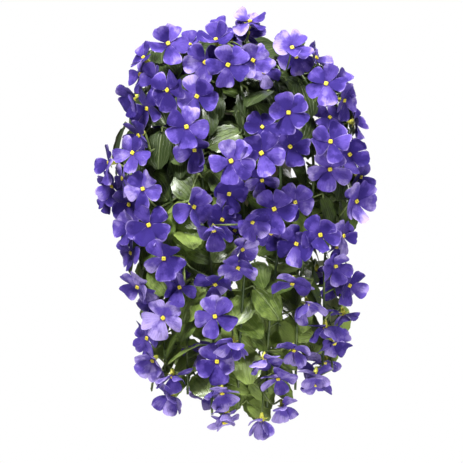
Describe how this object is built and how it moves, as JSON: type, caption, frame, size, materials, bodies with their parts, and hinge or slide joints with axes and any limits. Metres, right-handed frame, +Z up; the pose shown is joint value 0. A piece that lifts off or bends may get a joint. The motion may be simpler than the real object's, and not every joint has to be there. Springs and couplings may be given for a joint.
{
  "type": "wall-hung potted african violet",
  "caption": "Trailing african violet in a half-round glazed wall pot: leafy stems arch over the rim and hang down, dressed all over with sprays of violet-blue blooms with yellow eyes.",
  "frame": {"origin": "middle of the pot's flat back, on the wall plane", "axes": "+Z up, +Y into the wall, so the plant faces -Y, +X to the right as seen from the front"},
  "size_m": [0.2832, 0.1898, 0.4333],
  "materials": {
    "pot_glaze": "smooth cream glaze",
    "soil": "dark crumbly potting soil",
    "leaf_green": "satin green leaves and stems with pale veins",
    "petal_violet": "soft woven petals, violet-blue with pale rims, yellow eye"
  },
  "bodies": {
    "root": {"pot": "pot_glaze", "soil": "soil", "leafy_stem_01": "leaf_green", "leafy_stem_02": "leaf_green", "leafy_stem_03": "leaf_green", "leafy_stem_04": "leaf_green", "leafy_stem_05": "leaf_green", "leafy_stem_06": "leaf_green", "leafy_stem_07": "leaf_green", "leafy_stem_08": "leaf_green", "leafy_stem_09": "leaf_green", "leafy_stem_10": "leaf_green", "leafy_stem_11": "leaf_green", "leafy_stem_12": "leaf_green", "leafy_stem_13": "leaf_green", "leafy_stem_14": "leaf_green", "leafy_stem_15": "leaf_green", "leafy_stem_16": "leaf_green", "leafy_stem_17": "leaf_green", "bloom_spray_01": "petal_violet", "bloom_spray_02": "petal_violet", "bloom_spray_03": "petal_violet", "bloom_spray_04": "petal_violet", "bloom_spray_05": "petal_violet", "bloom_spray_06": "petal_violet", "bloom_spray_07": "petal_violet", "bloom_spray_08": "petal_violet", "bloom_spray_09": "petal_violet", "bloom_spray_10": "petal_violet", "bloom_spray_11": "petal_violet", "bloom_spray_12": "petal_violet", "bloom_spray_13": "petal_violet", "bloom_spray_14": "petal_violet", "bloom_spray_15": "petal_violet", "bloom_spray_16": "petal_violet", "bloom_spray_17": "petal_violet", "bloom_spray_18": "petal_violet", "bloom_spray_19": "petal_violet", "bloom_spray_20": "petal_violet", "bloom_spray_21": "petal_violet", "bloom_spray_22": "petal_violet", "bloom_spray_23": "petal_violet", "bloom_spray_24": "petal_violet", "bloom_spray_25": "petal_violet", "bloom_spray_26": "petal_violet", "bloom_spray_27": "petal_violet", "bloom_spray_28": "petal_violet", "bloom_spray_29": "petal_violet", "bloom_spray_30": "petal_violet", "bloom_spray_31": "petal_violet", "bloom_spray_32": "petal_violet", "bloom_spray_33": "petal_violet", "bloom_spray_34": "petal_violet", "bloom_spray_35": "petal_violet", "bloom_spray_36": "petal_violet", "bloom_spray_37": "petal_violet", "bloom_spray_38": "petal_violet", "bloom_spray_39": "petal_violet", "bloom_spray_40": "petal_violet", "bloom_spray_41": "petal_violet"}
  },
  "joints": []
}
